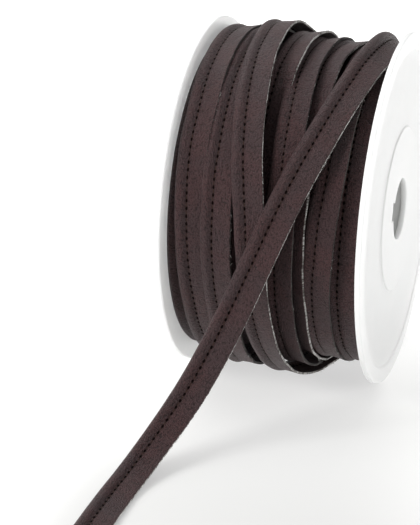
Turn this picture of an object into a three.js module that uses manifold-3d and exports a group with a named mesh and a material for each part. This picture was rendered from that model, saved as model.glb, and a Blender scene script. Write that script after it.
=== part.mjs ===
// A reel of flanged piping trim, standing on the rims of its two flanges.
// Millimetres, +Z up. X runs along the reel's axis, the front is towards -Y, and Z = 0 is the surface
// that the reel stands on. The origin lies on that surface, midway between the flanges.

import * as THREE from 'three';
import { mergeVertices } from 'three/addons/utils/BufferGeometryUtils.js';
import Module from 'manifold-3d';

const wasm = await Module();
wasm.setup();

// The reel
const FLANGE_RADIUS = 61.5;
const REEL_WIDTH = 70.0;
const FLANGE_THICKNESS = 2.0;
const RAISED = 0.45;
const RIM_BAND = 5.6;
const RIM_CHAMFER = 0.4;
const BOSS_RADIUS = 29.0;
const HOLE_RADIUS = 10.75;
const NOTCH_WIDTH = 6.0;
const NOTCH_DEPTH = 2.5;
const NOTCH_ABOVE_FRONT = 14;
const AXIS_HEIGHT = 61.0;
const HUB_BORE_RADIUS = 11.6;
const REEL_STEPS = 72;
const PIECE_GAP = 0.3;

// The trim: a round bead, a stitched seam beside it, and a flat tape
const BEAD_RADIUS = 1.8;
const SEAM_TO_BEAD_EDGE = 4.2;
const SEAM_TO_TAPE_EDGE = 6.6;
const TAPE_THICKNESS = 0.9;
const SEAM_THICKNESS = 0.9;

// The winding, seen at six angles from the top of the reel over its front to its underside.
// For each turn, in the order of the winding: the place of its seam, the place of the tape edge
// that shows beside the next turn, and the radius of its bead's crest.
const WINDING_STEPS = 66;
const VIEW_ANGLES = [-24, 15, 50, 85, 120, 155];
const TURNS = [
  {
    turn: 'a',
    seam: [-27.2, -27.2, -27.0, -25.4, -24.0, -23.4],
    edge: [-22.1, -22.2, -21.4, -20.7, -19.4, -18.6],
    crest: [57.6, 57.6, 57.6, 57.6, 57.8, 58.1],
  },
  {
    turn: 'b',
    seam: [-17.6, -17.6, -17.2, -16.2, -15.0, -14.4],
    edge: [-17.0, -16.6, -13.2, -9.8, -8.4, -7.8],
    crest: [58.4, 58.2, 58.0, 58.0, 58.4, 59.4],
  },
  {
    turn: 'c',
    seam: [-13.4, -12.2, -8.8, -4.3, -1.7, 1.5],
    edge: [-6.8, -5.6, -2.2, 2.3, 4.9, 9.2],
    crest: [60.6, 60.4, 59.8, 59.4, 59.6, 60.2],
  },
  {
    turn: 'd',
    seam: [-2.8, -3.6, -1.2, 2.9, 5.3, 9.6],
    edge: [3.8, 2.8, 1.8, 3.5, 5.8, 10.2],
    crest: [58.6, 58.0, 57.4, 57.4, 58.4, 59.2],
  },
  {
    turn: 'e',
    seam: [4.4, 3.4, 4.6, 4.6, 6.4, 10.8],
    edge: [10.2, 9.8, 11.0, 11.2, 11.8, 12.4],
    crest: [57.6, 57.4, 57.0, 57.0, 58.0, 59.6],
  },
  {
    turn: 'f',
    seam: [12.4, 10.9, 11.8, 12.0, 12.4, 13.0],
    edge: [19.6, 16.6, 15.4, 15.0, 15.8, 16.6],
    crest: [56.8, 56.6, 56.4, 56.2, 56.6, 57.2],
  },
  {
    turn: 'g',
    seam: [20.6, 20.4, 20.0, 18.4, 17.2, 18.0],
    edge: [25.8, 26.2, 26.6, 25.0, 24.0, 24.4],
    crest: [56.2, 56.2, 56.2, 56.0, 55.6, 54.8],
  },
  {
    turn: 'h',
    seam: [27.4, 27.8, 28.0, 26.8, 26.6, 27.4],
    edge: [32.0, 32.1, 32.3, 32.3, 32.0, 32.0],
    crest: [53.0, 53.6, 55.0, 55.2, 54.4, 53.4],
  },
];
const LEAST_SPACING = 0.25;
const FOOT_DEPTH = 2.2;
const SEAM_DEPTH = 0.9;
const MID_TAPE_DEPTH = 0.5;
const EDGE_DEPTH = -0.3;
const FLOOR_CLEARANCE = 0.6;

// The route of the loose end's seam: over the top of the winding, down in front of it, and out over
// the surface. lean turns the tape's upper side from upright towards the front, and dip turns its
// free edge down.
const LOOSE_ROUTE = [
  { x: 26.4, y: 32.6, z: 108.8, lean: -34, dip: 34 },
  { x: 26.5, y: 23.8, z: 113.6, lean: -24, dip: 34 },
  { x: 26.6, y: 14.3, z: 117.1, lean: -14, dip: 33 },
  { x: 26.5, y: 4.1, z: 119.1, lean: -4, dip: 31 },
  { x: 25.8, y: -6.3, z: 119.4, lean: 6, dip: 25 },
  { x: 24.3, y: -16.6, z: 117.9, lean: 16, dip: 14 },
  { x: 22.4, y: -26.4, z: 114.4, lean: 26, dip: 6 },
  { x: 19.8, y: -35.6, z: 109.4, lean: 36, dip: 2 },
  { x: 16.6, y: -43.7, z: 102.8, lean: 46, dip: 0 },
  { x: 12.8, y: -50.4, z: 94.7, lean: 56, dip: 0 },
  { x: 8.7, y: -55.6, z: 85.5, lean: 64, dip: 0 },
  { x: 4.6, y: -60.1, z: 75.3, lean: 66, dip: 0 },
  { x: 0.9, y: -64.6, z: 65.2, lean: 66, dip: 0 },
  { x: -2.8, y: -69.0, z: 55.1, lean: 66, dip: 0 },
  { x: -6.7, y: -73.5, z: 44.9, lean: 66, dip: 0 },
  { x: -11.0, y: -77.8, z: 34.8, lean: 65, dip: 0 },
  { x: -15.6, y: -82.1, z: 25.0, lean: 62, dip: 0 },
  { x: -20.1, y: -87.0, z: 16.7, lean: 53, dip: 0 },
  { x: -24.1, y: -93.1, z: 10.1, lean: 40, dip: 0 },
  { x: -27.2, y: -100.8, z: 5.3, lean: 26, dip: 2 },
  { x: -29.1, y: -109.5, z: 2.7, lean: 12, dip: 5 },
  { x: -30.0, y: -118.6, z: 1.9, lean: 2, dip: 7 },
  { x: -30.3, y: -130.0, z: 1.9, lean: 0, dip: 7 },
  { x: -30.4, y: -141.0, z: 1.9, lean: 0, dip: 7 },
  { x: -30.5, y: -152.0, z: 1.9, lean: 0, dip: 7 },
];
const LOOSE_STEPS = 60;

const WHITE_PLASTIC = new THREE.MeshStandardMaterial({ color: 0xf3f3f2, roughness: 0.38, metalness: 0 });
const BROWN_TRIM = new THREE.MeshStandardMaterial({ color: 0x3d2b2a, roughness: 0.55, metalness: 0 });

const OUTER_FACE = REEL_WIDTH / 2;
const INNER_FACE = OUTER_FACE - FLANGE_THICKNESS;

// A copy of a geometry as a solid that can be cut
function solidOf(geometry) {
  const bare = geometry.clone();
  bare.deleteAttribute('normal');
  bare.deleteAttribute('uv');
  const merged = mergeVertices(bare, 1e-4);
  const mesh = new wasm.Mesh({
    numProp: 3,
    vertProperties: new Float32Array(merged.attributes.position.array),
    triVerts: new Uint32Array(merged.index.array),
  });
  return new wasm.Manifold(mesh);
}

// A cut solid as a geometry again
function geometryOf(solid) {
  const mesh = solid.getMesh();
  const geometry = new THREE.BufferGeometry();
  geometry.setAttribute('position', new THREE.BufferAttribute(new Float32Array(mesh.vertProperties), 3));
  geometry.setIndex(new THREE.BufferAttribute(new Uint32Array(mesh.triVerts), 1));
  geometry.computeVertexNormals();
  return geometry;
}

function named(name, geometry, material) {
  const mesh = new THREE.Mesh(geometry, material);
  mesh.name = name;
  return mesh;
}

// A ring turned about the reel's axis from a closed outline of (radius, place along X)
function turnedRing(outline, steps) {
  const points = outline.map(([radius, along]) => new THREE.Vector2(radius, along));
  points.push(points[0].clone());
  const geometry = new THREE.LatheGeometry(points, steps);
  geometry.rotateZ(-Math.PI / 2);
  geometry.translate(0, 0, AXIS_HEIGHT);
  return geometry;
}

// A flange: a disc with a raised boss and rim band on its outer side, a notched hole and a flat spot
function flange(side) {
  const plate = OUTER_FACE - RAISED;
  const bandRadius = FLANGE_RADIUS - RIM_BAND;
  const outline = [
    [HOLE_RADIUS, INNER_FACE],
    [FLANGE_RADIUS - RIM_CHAMFER, INNER_FACE],
    [FLANGE_RADIUS, INNER_FACE + RIM_CHAMFER],
    [FLANGE_RADIUS, OUTER_FACE - RIM_CHAMFER],
    [FLANGE_RADIUS - RIM_CHAMFER, OUTER_FACE],
    [bandRadius, OUTER_FACE],
    [bandRadius - RAISED, plate],
    [BOSS_RADIUS + RAISED, plate],
    [BOSS_RADIUS, OUTER_FACE],
    [HOLE_RADIUS, OUTER_FACE],
  ];
  const disc = solidOf(turnedRing(outline, REEL_STEPS));
  const notchReach = HOLE_RADIUS + NOTCH_DEPTH;
  const notch = new THREE.BoxGeometry(REEL_WIDTH, notchReach, NOTCH_WIDTH);
  notch.translate(0, -notchReach / 2, 0);
  notch.rotateX(THREE.MathUtils.degToRad(-NOTCH_ABOVE_FRONT));
  notch.translate(OUTER_FACE, 0, AXIS_HEIGHT);
  const below = new THREE.BoxGeometry(REEL_WIDTH, FLANGE_RADIUS, FLANGE_RADIUS);
  below.translate(OUTER_FACE, 0, -FLANGE_RADIUS / 2);
  const cut = disc.subtract(solidOf(notch)).subtract(solidOf(below));
  return geometryOf(side < 0 ? cut.mirror([1, 0, 0]) : cut);
}

// The hub tube that joins the flanges
function hub() {
  const end = INNER_FACE - PIECE_GAP;
  const outline = [
    [HUB_BORE_RADIUS, -end],
    [BOSS_RADIUS, -end],
    [BOSS_RADIUS, end],
    [HUB_BORE_RADIUS, end],
  ];
  return turnedRing(outline, WINDING_STEPS);
}

// A smooth value at any angle round the reel, from its values at the six view angles
function roundTheReel(values) {
  const last = VIEW_ANGLES.length - 1;
  const angles = [VIEW_ANGLES[last] - 360, ...VIEW_ANGLES, VIEW_ANGLES[0] + 360, VIEW_ANGLES[1] + 360];
  const samples = [values[last], ...values, values[0], values[1]];
  const curve = new THREE.CubicInterpolant(angles, samples, 1);
  return (angle) => curve.evaluate(angle < VIEW_ANGLES[0] ? angle + 360 : angle)[0];
}

// The outer line of the winding at one angle: five points for each turn, from its foot beside the
// turn before it, over its bead and down into its seam, to its tape's edge
function windingLine(angle) {
  const radians = THREE.MathUtils.degToRad(angle);
  const cosine = Math.cos(radians);
  const limit = cosine < 0 ? (AXIS_HEIGHT - FLOOR_CLEARANCE) / -cosine : Infinity;
  const line = [];
  let before = -(INNER_FACE - PIECE_GAP);
  for (const turn of TURNS) {
    const seam = roundTheReel(turn.seam)(angle);
    const edge = roundTheReel(turn.edge)(angle);
    const crest = Math.min(roundTheReel(turn.crest)(angle), limit);
    const beadLeft = seam - SEAM_TO_BEAD_EDGE;
    const wanted = [
      { along: beadLeft, radius: crest - FOOT_DEPTH },
      { along: beadLeft + BEAD_RADIUS, radius: crest },
      { along: seam, radius: crest - SEAM_DEPTH },
      { along: (seam + edge) / 2, radius: crest - MID_TAPE_DEPTH },
      { along: edge, radius: crest - EDGE_DEPTH },
    ];
    for (const point of wanted) {
      before = Math.max(point.along, before + LEAST_SPACING);
      line.push(new THREE.Vector2(before, point.radius));
    }
  }
  return line;
}

// The wound trim: a ring whose outer points follow the turns
function woundTrim() {
  const end = INNER_FACE - PIECE_GAP;
  const bottom = BOSS_RADIUS + PIECE_GAP;
  const count = windingLine(0).length + 4;
  const outline = Array.from({ length: count }, (_, i) => [bottom + i, i - count / 2]);
  const points = outline.map(([radius, along]) => new THREE.Vector2(radius, along));
  points.push(points[0].clone());
  const geometry = new THREE.LatheGeometry(points, WINDING_STEPS);
  const position = geometry.attributes.position;
  for (let step = 0; step <= WINDING_STEPS; step += 1) {
    const angle = ((step % WINDING_STEPS) * 360) / WINDING_STEPS;
    const line = windingLine(angle > VIEW_ANGLES[0] + 360 ? angle - 360 : angle);
    const first = line[0];
    const last = line[line.length - 1];
    const ring = [
      new THREE.Vector2(-end, bottom),
      new THREE.Vector2(-end, first.y),
      ...line,
      new THREE.Vector2(end, last.y),
      new THREE.Vector2(end, bottom),
      new THREE.Vector2(-end, bottom),
    ];
    const radians = THREE.MathUtils.degToRad(angle);
    ring.forEach((point, i) => {
      const y = -point.y * Math.sin(radians);
      const z = AXIS_HEIGHT + point.y * Math.cos(radians);
      position.setXYZ(step * ring.length + i, point.x, y, z);
    });
  }
  return geometryOf(solidOf(geometry));
}

// The outline of the trim's cross-section, with the seam at its origin and the tape along +X
function trimSection() {
  const outline = [];
  const centre = BEAD_RADIUS - SEAM_TO_BEAD_EDGE;
  for (const angle of [35, 85, 133, 180, 227, 275, 325]) {
    const radians = THREE.MathUtils.degToRad(angle);
    outline.push([centre + BEAD_RADIUS * Math.cos(radians), BEAD_RADIUS * Math.sin(radians)]);
  }
  outline.push([0, -SEAM_THICKNESS / 2]);
  outline.push([SEAM_TO_TAPE_EDGE, -TAPE_THICKNESS / 2]);
  outline.push([SEAM_TO_TAPE_EDGE, TAPE_THICKNESS / 2]);
  outline.push([0, SEAM_THICKNESS / 2]);
  return new THREE.Shape(outline.map(([x, y]) => new THREE.Vector2(x, y)));
}

// The loose end: the trim's section, extruded straight and then bent along its route
function looseEnd() {
  const length = LOOSE_ROUTE.length - 1;
  const route = new THREE.CatmullRomCurve3(
    LOOSE_ROUTE.map((row) => new THREE.Vector3(row.x, row.y, row.z)), false, 'catmullrom', 0.5);
  const places = LOOSE_ROUTE.map((_, i) => i);
  const lean = new THREE.CubicInterpolant(places, LOOSE_ROUTE.map((row) => row.lean), 1);
  const dip = new THREE.CubicInterpolant(places, LOOSE_ROUTE.map((row) => row.dip), 1);
  const geometry = new THREE.ExtrudeGeometry(trimSection(), {
    depth: length, steps: LOOSE_STEPS, bevelEnabled: false,
  });
  const position = geometry.attributes.position;
  for (let i = 0; i < position.count; i += 1) {
    const place = THREE.MathUtils.clamp(position.getZ(i), 0, length);
    const centre = route.getPoint(place / length);
    const along = route.getTangent(place / length);
    const leaning = THREE.MathUtils.degToRad(lean.evaluate(place)[0]);
    const upright = new THREE.Vector3(0, -Math.sin(leaning), Math.cos(leaning));
    const across = upright.clone().cross(along).normalize();
    const dipping = THREE.MathUtils.degToRad(dip.evaluate(place)[0]);
    across.applyAxisAngle(along, -dipping);
    const up = along.clone().cross(across);
    const point = centre.addScaledVector(across, position.getX(i)).addScaledVector(up, position.getY(i));
    position.setXYZ(i, point.x, point.y, point.z);
  }
  return geometryOf(solidOf(geometry));
}

const reel = new THREE.Group();
reel.add(named('flange_left', flange(-1), WHITE_PLASTIC));
reel.add(named('flange_right', flange(1), WHITE_PLASTIC));
reel.add(named('hub', hub(), WHITE_PLASTIC));
reel.add(named('wound_trim', woundTrim(), BROWN_TRIM));
reel.add(named('loose_end', looseEnd(), BROWN_TRIM));

export default reel;
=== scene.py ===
"""A reel of flanged piping trim in dark brown imitation leather, dressed for a studio picture.

Everything is in metres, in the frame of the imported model: X runs along the reel's axis, the front is
towards -Y, and Z = 0 is the surface that the reel stands on. Sizes named in millimetres end in _mm.
"""

import logging
import math
import random
from dataclasses import dataclass
from enum import Enum

import bpy
import numpy as np
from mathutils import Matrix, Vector


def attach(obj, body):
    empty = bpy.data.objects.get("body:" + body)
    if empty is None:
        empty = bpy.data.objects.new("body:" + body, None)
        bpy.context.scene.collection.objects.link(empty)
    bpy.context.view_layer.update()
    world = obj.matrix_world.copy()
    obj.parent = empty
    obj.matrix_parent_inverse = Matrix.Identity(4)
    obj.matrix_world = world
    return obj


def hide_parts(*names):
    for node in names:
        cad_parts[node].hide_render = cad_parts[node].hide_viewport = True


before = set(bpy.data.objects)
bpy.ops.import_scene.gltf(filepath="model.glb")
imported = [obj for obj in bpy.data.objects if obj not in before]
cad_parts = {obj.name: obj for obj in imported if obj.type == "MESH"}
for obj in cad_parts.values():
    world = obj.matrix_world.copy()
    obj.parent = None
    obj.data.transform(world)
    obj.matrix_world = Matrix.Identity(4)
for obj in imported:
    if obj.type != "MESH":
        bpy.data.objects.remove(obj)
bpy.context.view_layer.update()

log = logging.getLogger("piping_reel")

MM = 0.001
BODY = "root"
AXIS_HEIGHT_MM = 61.0
STITCH_PITCH_MM = 2.55
STITCH_ROW_MM = 0.08

Colour = tuple[float, float, float, float]


class Slot(Enum):
    """The names of the record's material slots; no piece here takes its finish from them."""

    PLASTIC = "white_plastic"
    LEATHER = "brown_leather"


class Side(Enum):
    """The two ends of the reel, along X."""

    LEFT = -1
    RIGHT = 1


class RawEdge(Enum):
    """How a tape's cut edge shows its backing, with the number of loose fibres on a strip."""

    PALE = 110
    # The shaded edge is the pale backing painted dark, as shade in the gaps that it faces.
    DULL = 60


# Shader building


class ShaderTree:
    """A short hand for adding nodes to a material's tree or to a node group."""

    def __init__(self, tree: bpy.types.NodeTree) -> None:
        """Keep the tree that the calls below add to, emptied."""
        self.tree = tree
        self.tree.nodes.clear()

    def feed(self, socket: bpy.types.NodeSocket, value: object) -> None:
        """Link a socket to another one, or set its value.

        Args:
            socket: The input socket.
            value: The output that feeds it, or a plain value.
        """
        if isinstance(value, bpy.types.NodeSocket):
            self.tree.links.new(value, socket)
        else:
            socket.default_value = value

    def add(self, kind: str, inputs: dict | None = None, **settings: object) -> bpy.types.Node:
        """Add one node.

        Args:
            kind: The node's type name, without its ShaderNode prefix.
            inputs: What feeds its sockets, by name or by number.
            settings: Attributes to set on the node itself.

        Returns:
            The new node.
        """
        prefix = "" if kind.startswith("Node") else "ShaderNode"
        node = self.tree.nodes.new(prefix + kind)
        for name, value in settings.items():
            setattr(node, name, value)
        for key, value in (inputs or {}).items():
            self.feed(node.inputs[key], value)
        return node

    def math(self, operation: str, first: object, second: object = 0.0) -> bpy.types.NodeSocket:
        """Add a Math node and return its output."""
        return self.add("Math", {0: first, 1: second}, operation=operation).outputs[0]

    def blend(self, factor: object, dark: object, light: object) -> bpy.types.NodeSocket:
        """Add a colour Mix node and return its result."""
        return self.add("Mix", {0: factor, 6: dark, 7: light}, data_type="RGBA").outputs[2]

    def ramp(self, value: bpy.types.NodeSocket, low: float, high: float) -> bpy.types.NodeSocket:
        """Add a smooth step of a value from low to high and return its output."""
        inputs = {"Value": value, "From Min": low, "From Max": high}
        return self.add("MapRange", inputs, interpolation_type="SMOOTHSTEP").outputs[0]

    def noise(
        self, place: object, scale: object, detail: float = 2.0, distortion: float = 0.0,
    ) -> bpy.types.NodeSocket:
        """Add a Noise node and return its value."""
        inputs = {"Vector": place, "Scale": scale, "Detail": detail, "Distortion": distortion}
        return self.add("TexNoise", inputs).outputs[0]

    def lay(self) -> bpy.types.NodeSocket:
        """Return where a point lies on its strip: millimetres along and across, and its number."""
        return self.add("Attribute", attribute_name="lay").outputs["Vector"]

    def place(self) -> bpy.types.NodeSocket:
        """Return where a point lies in the scene, in metres."""
        return self.add("TexCoord").outputs["Object"]

    def shade(self, inputs: dict) -> None:
        """Close a material's tree with a Principled shader fed by these inputs."""
        shader = self.add("BsdfPrincipled", inputs)
        self.add("OutputMaterial", {"Surface": shader.outputs[0]})


def new_group(name: str, inputs: dict, outputs: tuple) -> tuple[bpy.types.NodeTree, ShaderTree, object]:
    """Start a shader node group whose sockets are all plain numbers.

    Args:
        name: The group's name.
        inputs: Input names, with their default values.
        outputs: Output names.

    Returns:
        The group, the helper that fills it, and the group's given inputs.
    """
    group = bpy.data.node_groups.new(name, "ShaderNodeTree")
    tree = ShaderTree(group)
    for socket_name, value in inputs.items():
        socket = group.interface.new_socket(socket_name, in_out="INPUT", socket_type="NodeSocketFloat")
        socket.default_value = value
    for socket_name in outputs:
        group.interface.new_socket(socket_name, in_out="OUTPUT", socket_type="NodeSocketFloat")
    return group, tree, tree.add("NodeGroupInput").outputs


def leather_grain_group() -> bpy.types.NodeTree:
    """Make the grain of pressed imitation leather: pebbles, pores and fine cross creases.

    Returns:
        A group with a height, a fine tone of the pebbles and a broad cloud over the surface.
    """
    group, tree, given = new_group(
        "Leather grain",
        {
            "Pebble Size": 0.0006, "Pebble Depth": 0.5, "Fine Ratio": 1.7, "Fine Depth": 0.8,
            "Crease Size": 0.0028, "Crease Depth": 1.6,
        },
        ("Height", "Tone", "Cloud"),
    )
    place = tree.place()
    lay = tree.lay()
    pebble_scale = tree.math("DIVIDE", 1.0, given["Pebble Size"])
    pebbles = tree.add("TexVoronoi", {"Vector": place, "Scale": pebble_scale}).outputs["Distance"]
    fine = tree.noise(place, tree.math("MULTIPLY", pebble_scale, given["Fine Ratio"]), detail=3.0)
    across = tree.add("VectorMath", {0: lay, 1: (1.0, 0.3, 1.0)}, operation="MULTIPLY").outputs[0]
    crease_scale = tree.math("DIVIDE", MM, given["Crease Size"])
    creases = tree.noise(across, crease_scale, detail=3.0, distortion=0.8)
    ridged = tree.math("ABSOLUTE", tree.math("SUBTRACT", creases, 0.5))
    crumpled = tree.ramp(tree.noise(lay, 0.11), 0.45, 0.7)
    ridged = tree.math("MULTIPLY", ridged, crumpled)
    grain = tree.math("MULTIPLY", tree.math("SUBTRACT", 1.0, pebbles), given["Pebble Depth"])
    grain = tree.math("ADD", grain, tree.math("MULTIPLY", fine, given["Fine Depth"]))
    tone = tree.math("MULTIPLY", grain, 0.8)
    height = tree.math("SUBTRACT", grain, tree.math("MULTIPLY", ridged, given["Crease Depth"]))
    cloud = tree.noise(lay, 0.07, detail=3.0)
    tree.add("NodeGroupOutput", {"Height": height, "Tone": tone, "Cloud": cloud})
    return group


def seam_marks_group() -> bpy.types.NodeTree:
    """Make the masks of the stitching, needle holes at an even pitch in a furrow, for painted shade.

    Returns:
        A group with a mask of the holes and a mask of the furrow.
    """
    group, tree, given = new_group(
        "Seam marks",
        {
            "Pitch": STITCH_PITCH_MM, "Row": STITCH_ROW_MM, "Hole Radius": 0.42, "Hole Stretch": 0.62,
            "Furrow Width": 0.9,
        },
        ("Holes", "Furrow"),
    )
    parts = tree.add("SeparateXYZ", {0: tree.lay()}).outputs
    turns = tree.math("DIVIDE", parts["X"], given["Pitch"])
    off = tree.math("SUBTRACT", turns, tree.math("ROUND", turns))
    off = tree.math("MULTIPLY", off, given["Pitch"])
    off = tree.math("MULTIPLY", off, given["Hole Stretch"])
    side = tree.math("SUBTRACT", parts["Y"], given["Row"])
    reach = tree.math("ADD", tree.math("MULTIPLY", off, off), tree.math("MULTIPLY", side, side))
    inside = tree.math("DIVIDE", tree.math("SQRT", reach), given["Hole Radius"])
    holes = tree.math("SUBTRACT", 1.0, tree.ramp(inside, 0.75, 1.15))
    furrow = tree.math("DIVIDE", tree.math("ABSOLUTE", side), given["Furrow Width"])
    furrow = tree.math("SUBTRACT", 1.0, tree.ramp(furrow, 0.1, 1.0))
    tree.add("NodeGroupOutput", {"Holes": holes, "Furrow": furrow})
    return group


def clouding_group() -> bpy.types.NodeTree:
    """Make the faint clouding and the fine flecks of plastic and of the floor.

    Returns:
        A group with a broad tone and a fine height.
    """
    sizes = {"Cloud Size": 0.05, "Fleck Size": 0.0008}
    group, tree, given = new_group("Clouding", sizes, ("Tone", "Height"))
    place = tree.place()
    cloud = tree.noise(place, tree.math("DIVIDE", 1.0, given["Cloud Size"]), detail=3.0)
    fleck = tree.noise(place, tree.math("DIVIDE", 1.0, given["Fleck Size"]))
    tree.add("NodeGroupOutput", {"Tone": cloud, "Height": fleck})
    return group


class Effects:
    """The shader node groups that the finishes share, each built once."""

    def __init__(self) -> None:
        """Build the groups."""
        self.grain = leather_grain_group()
        self.seam = seam_marks_group()
        self.clouding = clouding_group()


# Finishes


def start_material(name: str) -> tuple[bpy.types.Material, ShaderTree]:
    """Start a material with an empty node tree.

    Args:
        name: The material's name.

    Returns:
        The material and the helper for its tree.
    """
    material = bpy.data.materials.new(name)
    material.use_nodes = True
    return material, ShaderTree(material.node_tree)


@dataclass(frozen=True)
class ImitationLeather:
    """Soft imitation leather with pressed grain, and painted shade in its stitched furrow and needle holes.
    """

    name: str = "Brown imitation leather"
    pore: Colour = (0.020, 0.009, 0.009, 1.0)
    warm: Colour = (0.076, 0.035, 0.036, 1.0)
    cool: Colour = (0.066, 0.036, 0.038, 1.0)
    # Painted shade inside the needle holes.
    hole: Colour = (0.005, 0.002, 0.0015, 1.0)
    cloud_range: tuple[float, float] = (0.38, 0.62)
    grain_range: tuple[float, float] = (0.3, 0.58)
    furrow_shade: float = 0.45
    roughness: float = 0.45
    roughness_spread: float = 0.24
    grain_strength: float = 0.9
    grain_depth: float = 0.0017
    shine: float = 0.32
    sheen: float = 0.02

    def make(self, effects: Effects) -> bpy.types.Material:
        """Build the material from the shared groups.

        Args:
            effects: The shared shader groups.

        Returns:
            The material.
        """
        material, tree = start_material(self.name)
        grain = tree.add("Group", node_tree=effects.grain).outputs
        seam = tree.add("Group", node_tree=effects.seam).outputs
        skin = tree.blend(tree.ramp(grain["Cloud"], *self.cloud_range), self.warm, self.cool)
        colour = tree.blend(tree.ramp(grain["Tone"], *self.grain_range), self.pore, skin)
        # Painted shade: the seam's furrow darkens towards the pore colour and the needle holes towards the
        # hole colour.
        colour = tree.blend(tree.math("MULTIPLY", seam["Furrow"], self.furrow_shade), colour, self.pore)
        colour = tree.blend(seam["Holes"], colour, self.hole)
        rough = tree.math("MULTIPLY", grain["Tone"], -self.roughness_spread)
        rough = tree.math("ADD", rough, self.roughness + self.roughness_spread / 2)
        bump = tree.add(
            "Bump",
            {"Height": grain["Height"], "Strength": self.grain_strength, "Distance": self.grain_depth},
        )
        unpierced = tree.math("SUBTRACT", 1.0, seam["Holes"])
        tree.shade(
            {
                "Base Color": colour, "Roughness": rough, "Normal": bump.outputs[0],
                "Specular IOR Level": tree.math("MULTIPLY", unpierced, self.shine),
                "Sheen Weight": self.sheen, "Sheen Roughness": 0.45,
            }
        )
        return material


@dataclass(frozen=True)
class RawBacking:
    """The raw cut edge: pale knitted backing between the two brown skins."""

    name: str = "Pale raw backing"
    dull: Colour = (0.10, 0.09, 0.08, 1.0)
    bright: Colour = (0.84, 0.83, 0.80, 1.0)
    bare_range: tuple[float, float] = (0.42, 0.6)
    patch_scale: float = 0.12
    patch_share: float = 0.45
    thread_scale: float = 1.9
    thread_share: float = 0.55
    thread_depth: float = 0.0002
    roughness: float = 0.9

    def make(self) -> bpy.types.Material:
        """Build the material; its tone changes in patches and short threads along the edge.

        Returns:
            The material.
        """
        material, tree = start_material(self.name)
        lay = tree.lay()
        patches = tree.math("MULTIPLY", tree.noise(lay, self.patch_scale), self.patch_share)
        threads = tree.noise(lay, self.thread_scale)
        tone = tree.math("ADD", patches, tree.math("MULTIPLY", threads, self.thread_share))
        bump = tree.add("Bump", {"Height": threads, "Strength": 0.6, "Distance": self.thread_depth})
        tree.shade(
            {
                "Base Color": tree.blend(tree.ramp(tone, *self.bare_range), self.dull, self.bright),
                "Roughness": self.roughness, "Normal": bump.outputs[0], "Sheen Weight": 0.1,
            }
        )
        return material


# Painted shade: a darkened copy of the pale backing for cut edges that face into shaded gaps.
SHADED_BACKING = RawBacking(
    name="Raw backing in painted shade",
    dull=(0.02, 0.016, 0.014, 1.0),
    bright=(0.10, 0.10, 0.09, 1.0),
    bare_range=(0.45, 0.66),
)
LOOSE_FIBRES = RawBacking(
    name="Loose backing fibres",
    dull=(0.3, 0.29, 0.27, 1.0),
    bright=(0.8, 0.79, 0.76, 1.0),
)


@dataclass(frozen=True)
class SewingThread:
    """Twisted sewing thread, a little darker than the leather it sinks into, its twist painted with glints.
    """

    name: str = "Dark sewing thread"
    # The dark and light ends are painted shade and painted glints on the twisted plies.
    dark: Colour = (0.008, 0.004, 0.003, 1.0)
    light: Colour = (0.075, 0.034, 0.020, 1.0)
    twist_pitch_mm: float = 0.5
    twist_slant: float = 0.9
    twist_depth: float = 0.00006
    roughness: float = 0.62

    def make(self) -> bpy.types.Material:
        """Build the material, with the ply's slanting bands as painted glints and shade.

        Returns:
            The material.
        """
        material, tree = start_material(self.name)
        parts = tree.add("SeparateXYZ", {0: tree.lay()}).outputs
        slant = tree.math("ADD", parts["X"], tree.math("MULTIPLY", parts["Y"], self.twist_slant))
        wave = tree.math("SINE", tree.math("MULTIPLY", slant, math.tau / self.twist_pitch_mm))
        tone = tree.ramp(wave, -1.0, 1.0)
        bump = tree.add("Bump", {"Height": tone, "Strength": 0.7, "Distance": self.twist_depth})
        tree.shade(
            {
                "Base Color": tree.blend(tone, self.dark, self.light), "Roughness": self.roughness,
                "Normal": bump.outputs[0], "Specular IOR Level": 0.25,
            }
        )
        return material


@dataclass(frozen=True)
class MouldedPlastic:
    """White moulded plastic, softly glossy and faintly clouded."""

    name: str = "White moulded plastic"
    cool: Colour = (0.85, 0.86, 0.85, 1.0)
    clean: Colour = (0.89, 0.89, 0.88, 1.0)
    cloud_size: float = 0.03
    fleck_size: float = 0.0009
    fleck_depth: float = 0.00004
    roughness: float = 0.34
    roughness_spread: float = 0.12

    def make(self, effects: Effects) -> bpy.types.Material:
        """Build the material from the shared clouding.

        Args:
            effects: The shared shader groups.

        Returns:
            The material.
        """
        material, tree = start_material(self.name)
        sizes = {"Cloud Size": self.cloud_size, "Fleck Size": self.fleck_size}
        cloud = tree.add("Group", sizes, node_tree=effects.clouding).outputs
        rough = tree.math("MULTIPLY", cloud["Tone"], self.roughness_spread)
        bump = tree.add(
            "Bump", {"Height": cloud["Height"], "Strength": 0.25, "Distance": self.fleck_depth},
        )
        tree.shade(
            {
                "Base Color": tree.blend(tree.ramp(cloud["Tone"], 0.3, 0.7), self.cool, self.clean),
                "Roughness": tree.math("ADD", rough, self.roughness - self.roughness_spread / 2),
                "Normal": bump.outputs[0], "Subsurface Weight": 0.8,
                "Subsurface Radius": (1.0, 1.0, 1.0), "Subsurface Scale": 0.006, "Coat Weight": 0.05,
                "Coat Roughness": 0.25,
            }
        )
        return material


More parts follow.
